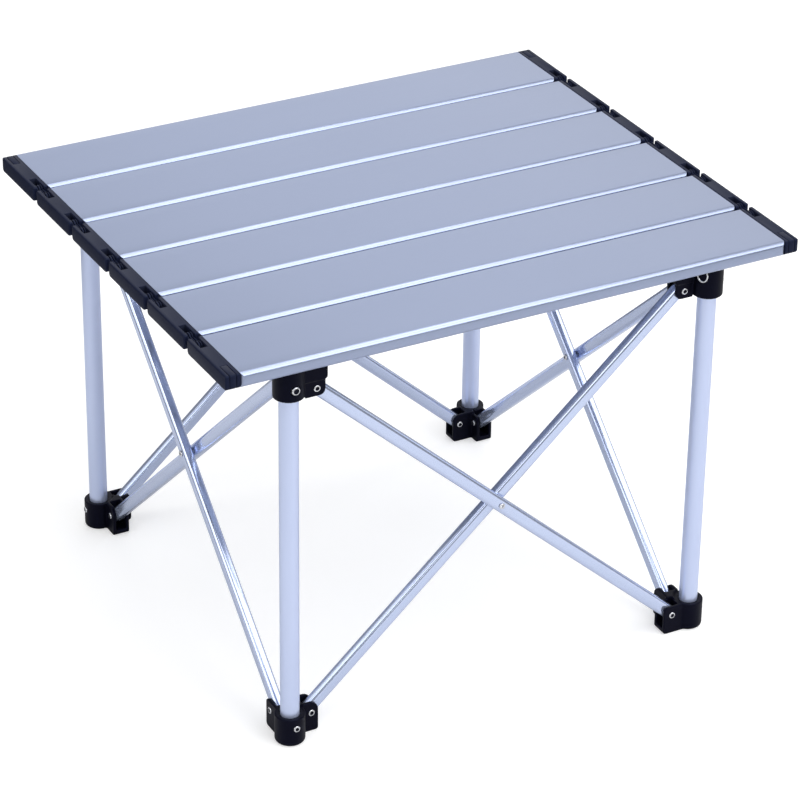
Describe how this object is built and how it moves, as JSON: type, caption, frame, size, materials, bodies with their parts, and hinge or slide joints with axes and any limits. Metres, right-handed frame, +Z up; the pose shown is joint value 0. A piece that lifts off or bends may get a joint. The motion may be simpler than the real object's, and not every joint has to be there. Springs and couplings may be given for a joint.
{
  "type": "folding camp table",
  "caption": "Low folding table with a fold-up slatted metal top on a cross-braced folding frame of round tube legs, flat tube braces and plastic hubs.",
  "frame": {"origin": "on the floor, under the middle of the tabletop", "axes": "+X along the slats to the right, +Y from the front to the back, +Z up"},
  "size_m": [0.405, 0.3426, 0.2875],
  "materials": {
    "aluminium": "satin anodised",
    "black_plastic": "fine satin moulded",
    "rivet_steel": "polished"
  },
  "bodies": {
    "frame": {"foot_hub_front_left": "black_plastic", "leg_front_left": "aluminium"},
    "front_inner": {"brace_front_inner": "aluminium", "crossing_rivet_front": "rivet_steel"},
    "front_outer": {"brace_front_outer": "aluminium"},
    "top_front_left": {"top_hub_front_left": "black_plastic"},
    "foot_front_right": {"foot_hub_front_right": "black_plastic", "leg_front_right": "aluminium"},
    "top_front_right": {"top_hub_front_right": "black_plastic"},
    "left_outer": {"brace_left_outer": "aluminium", "crossing_rivet_left": "rivet_steel"},
    "left_inner": {"brace_left_inner": "aluminium"},
    "top_back_left": {"top_hub_back_left": "black_plastic"},
    "foot_back_left": {"foot_hub_back_left": "black_plastic", "leg_back_left": "aluminium"},
    "right_inner": {"brace_right_inner": "aluminium", "crossing_rivet_right": "rivet_steel"},
    "right_outer": {"brace_right_outer": "aluminium"},
    "top_back_right": {"top_hub_back_right": "black_plastic"},
    "foot_back_right": {"foot_hub_back_right": "black_plastic", "leg_back_right": "aluminium"},
    "back_outer": {"brace_back_outer": "aluminium", "crossing_rivet_back": "rivet_steel"},
    "back_inner": {"brace_back_inner": "aluminium"},
    "snap_button_front_left": {"snap_button_front_left": "rivet_steel"},
    "snap_button_front_right": {"snap_button_front_right": "rivet_steel"},
    "snap_button_back_right": {"snap_button_back_right": "rivet_steel"},
    "snap_button_back_left": {"snap_button_back_left": "rivet_steel"},
    "slat_1": {"slat_1": "aluminium", "end_cap_1_left": "black_plastic", "end_cap_1_right": "black_plastic", "cap_plug_front_left": "black_plastic", "cap_plug_front_right": "black_plastic"},
    "links_1": {"link_1_left": "black_plastic", "link_1_right": "black_plastic"},
    "slat_2": {"slat_2": "aluminium", "end_cap_2_left": "black_plastic", "end_cap_2_right": "black_plastic"},
    "links_2": {"link_2_left": "black_plastic", "link_2_right": "black_plastic"},
    "slat_3": {"slat_3": "aluminium", "end_cap_3_left": "black_plastic", "end_cap_3_right": "black_plastic"},
    "links_3": {"link_3_left": "black_plastic", "link_3_right": "black_plastic"},
    "slat_4": {"slat_4": "aluminium", "end_cap_4_left": "black_plastic", "end_cap_4_right": "black_plastic"},
    "links_4": {"link_4_left": "black_plastic", "link_4_right": "black_plastic"},
    "slat_5": {"slat_5": "aluminium", "end_cap_5_left": "black_plastic", "end_cap_5_right": "black_plastic"},
    "links_5": {"link_5_left": "black_plastic", "link_5_right": "black_plastic"},
    "slat_6": {"slat_6": "aluminium", "end_cap_6_left": "black_plastic", "end_cap_6_right": "black_plastic", "cap_plug_back_left": "black_plastic", "cap_plug_back_right": "black_plastic"}
  },
  "joints": [
    {"name": "frame_fold", "type": "hinge", "parent": "frame", "child": "front_inner", "pos_m": [-0.1338, -0.1408, 0.014], "axis": [0, -1, 0], "range_deg": [0, 44.5]},
    {"name": "front_crossing", "type": "hinge", "parent": "front_inner", "child": "front_outer", "pos_m": [0, -0.1485, 0.1345], "axis": [0, -1, 0], "range_deg": [-89, 0]},
    {"name": "top_front_left_pivot", "type": "hinge", "parent": "front_outer", "child": "top_front_left", "pos_m": [-0.1338, -0.1485, 0.255], "axis": [0, -1, 0], "range_deg": [0, 44.5]},
    {"name": "foot_front_right_pivot", "type": "hinge", "parent": "front_outer", "child": "foot_front_right", "pos_m": [0.1338, -0.1485, 0.014], "axis": [0, -1, 0], "range_deg": [0, 44.5]},
    {"name": "top_front_right_pivot", "type": "hinge", "parent": "front_inner", "child": "top_front_right", "pos_m": [0.1338, -0.1408, 0.255], "axis": [0, -1, 0], "range_deg": [-44.5, 0]},
    {"name": "left_brace_pivot", "type": "hinge", "parent": "frame", "child": "left_outer", "pos_m": [-0.15, -0.1323, 0.014], "axis": [1, 0, 0], "range_deg": [0, 44.5]},
    {"name": "left_crossing", "type": "hinge", "parent": "left_outer", "child": "left_inner", "pos_m": [-0.15, 0.0015, 0.1345], "axis": [1, 0, 0], "range_deg": [-89, 0]},
    {"name": "top_back_left_pivot", "type": "hinge", "parent": "left_outer", "child": "top_back_left", "pos_m": [-0.15, 0.1353, 0.255], "axis": [1, 0, 0], "range_deg": [-44.5, 0]},
    {"name": "foot_back_left_pivot", "type": "hinge", "parent": "left_inner", "child": "foot_back_left", "pos_m": [-0.1423, 0.1353, 0.014], "axis": [1, 0, 0], "range_deg": [0, 44.5]},
    {"name": "right_brace_pivot", "type": "hinge", "parent": "foot_front_right", "child": "right_inner", "pos_m": [0.1423, -0.1323, 0.014], "axis": [1, 0, 0], "range_deg": [0, 44.5]},
    {"name": "right_crossing", "type": "hinge", "parent": "right_inner", "child": "right_outer", "pos_m": [0.15, 0.0015, 0.1345], "axis": [1, 0, 0], "range_deg": [-89, 0]},
    {"name": "top_back_right_pivot", "type": "hinge", "parent": "right_inner", "child": "top_back_right", "pos_m": [0.1423, 0.1353, 0.255], "axis": [1, 0, 0], "range_deg": [-44.5, 0]},
    {"name": "foot_back_right_pivot", "type": "hinge", "parent": "right_outer", "child": "foot_back_right", "pos_m": [0.15, 0.1353, 0.014], "axis": [1, 0, 0], "range_deg": [0, 44.5]},
    {"name": "back_brace_pivot", "type": "hinge", "parent": "foot_back_left", "child": "back_outer", "pos_m": [-0.1338, 0.1515, 0.014], "axis": [0, -1, 0], "range_deg": [0, 44.5]},
    {"name": "back_crossing", "type": "hinge", "parent": "back_outer", "child": "back_inner", "pos_m": [0, 0.1515, 0.1345], "axis": [0, -1, 0], "range_deg": [-89, 0]},
    {"name": "tabletop_lift", "type": "slide", "parent": "top_front_left", "child": "slat_1", "axis": [0, 0, 1], "range_m": [0, 0.187]},
    {"name": "link_1_hinge", "type": "hinge", "parent": "slat_1", "child": "links_1", "pos_m": [0, -0.1216, 0.2825], "axis": [1, 0, 0], "range_deg": [0, 90]},
    {"name": "slat_2_hinge", "type": "hinge", "parent": "links_1", "child": "slat_2", "pos_m": [0, -0.1088, 0.2825], "axis": [1, 0, 0], "range_deg": [0, 90]},
    {"name": "link_2_hinge", "type": "hinge", "parent": "slat_2", "child": "links_2", "pos_m": [0, -0.064, 0.2825], "axis": [1, 0, 0], "range_deg": [-90, 0]},
    {"name": "slat_3_hinge", "type": "hinge", "parent": "links_2", "child": "slat_3", "pos_m": [0, -0.0512, 0.2825], "axis": [1, 0, 0], "range_deg": [-90, 0]},
    {"name": "link_3_hinge", "type": "hinge", "parent": "slat_3", "child": "links_3", "pos_m": [0, -0.0064, 0.2825], "axis": [1, 0, 0], "range_deg": [0, 90]},
    {"name": "slat_4_hinge", "type": "hinge", "parent": "links_3", "child": "slat_4", "pos_m": [0, 0.0064, 0.2825], "axis": [1, 0, 0], "range_deg": [0, 90]},
    {"name": "link_4_hinge", "type": "hinge", "parent": "slat_4", "child": "links_4", "pos_m": [0, 0.0512, 0.2825], "axis": [1, 0, 0], "range_deg": [-90, 0]},
    {"name": "slat_5_hinge", "type": "hinge", "parent": "links_4", "child": "slat_5", "pos_m": [0, 0.064, 0.2825], "axis": [1, 0, 0], "range_deg": [-90, 0]},
    {"name": "link_5_hinge", "type": "hinge", "parent": "slat_5", "child": "links_5", "pos_m": [0, 0.1088, 0.2825], "axis": [1, 0, 0], "range_deg": [0, 90]},
    {"name": "tabletop_fold", "type": "hinge", "parent": "links_5", "child": "slat_6", "pos_m": [0, 0.1216, 0.2825], "axis": [1, 0, 0], "range_deg": [0, 90]},
    {"name": "snap_button_front_left_press", "type": "slide", "parent": "frame", "child": "snap_button_front_left", "axis": [0, 1, 0], "range_m": [0, 0.0044], "stiffness_N_per_m": 600, "springref_m": -0.002},
    {"name": "snap_button_front_right_press", "type": "slide", "parent": "foot_front_right", "child": "snap_button_front_right", "axis": [-1, 0, 0], "range_m": [0, 0.0044], "stiffness_N_per_m": 600, "springref_m": -0.002},
    {"name": "snap_button_back_right_press", "type": "slide", "parent": "foot_back_right", "child": "snap_button_back_right", "axis": [0, -1, 0], "range_m": [0, 0.0044], "stiffness_N_per_m": 600, "springref_m": -0.002},
    {"name": "snap_button_back_left_press", "type": "slide", "parent": "foot_back_left", "child": "snap_button_back_left", "axis": [1, 0, 0], "range_m": [0, 0.0044], "stiffness_N_per_m": 600, "springref_m": -0.002}
  ],
  "couplings": [
    {"joint": "front_crossing", "follows": "frame_fold", "ratio": -2},
    {"joint": "top_front_left_pivot", "follows": "frame_fold", "ratio": 1},
    {"joint": "foot_front_right_pivot", "follows": "frame_fold", "ratio": 1},
    {"joint": "top_front_right_pivot", "follows": "frame_fold", "ratio": -1},
    {"joint": "left_brace_pivot", "follows": "frame_fold", "ratio": 1},
    {"joint": "left_crossing", "follows": "frame_fold", "ratio": -2},
    {"joint": "top_back_left_pivot", "follows": "frame_fold", "ratio": -1},
    {"joint": "foot_back_left_pivot", "follows": "frame_fold", "ratio": 1},
    {"joint": "right_brace_pivot", "follows": "frame_fold", "ratio": 1},
    {"joint": "right_crossing", "follows": "frame_fold", "ratio": -2},
    {"joint": "top_back_right_pivot", "follows": "frame_fold", "ratio": -1},
    {"joint": "foot_back_right_pivot", "follows": "frame_fold", "ratio": 1},
    {"joint": "back_brace_pivot", "follows": "frame_fold", "ratio": 1},
    {"joint": "back_crossing", "follows": "frame_fold", "ratio": -2},
    {"joint": "tabletop_lift", "follows": "frame_fold", "m_per_rad": 0.24},
    {"joint": "link_1_hinge", "follows": "tabletop_fold", "ratio": 1},
    {"joint": "slat_2_hinge", "follows": "tabletop_fold", "ratio": 1},
    {"joint": "link_2_hinge", "follows": "tabletop_fold", "ratio": -1},
    {"joint": "slat_3_hinge", "follows": "tabletop_fold", "ratio": -1},
    {"joint": "link_3_hinge", "follows": "tabletop_fold", "ratio": 1},
    {"joint": "slat_4_hinge", "follows": "tabletop_fold", "ratio": 1},
    {"joint": "link_4_hinge", "follows": "tabletop_fold", "ratio": -1},
    {"joint": "slat_5_hinge", "follows": "tabletop_fold", "ratio": -1},
    {"joint": "link_5_hinge", "follows": "tabletop_fold", "ratio": 1}
  ]
}
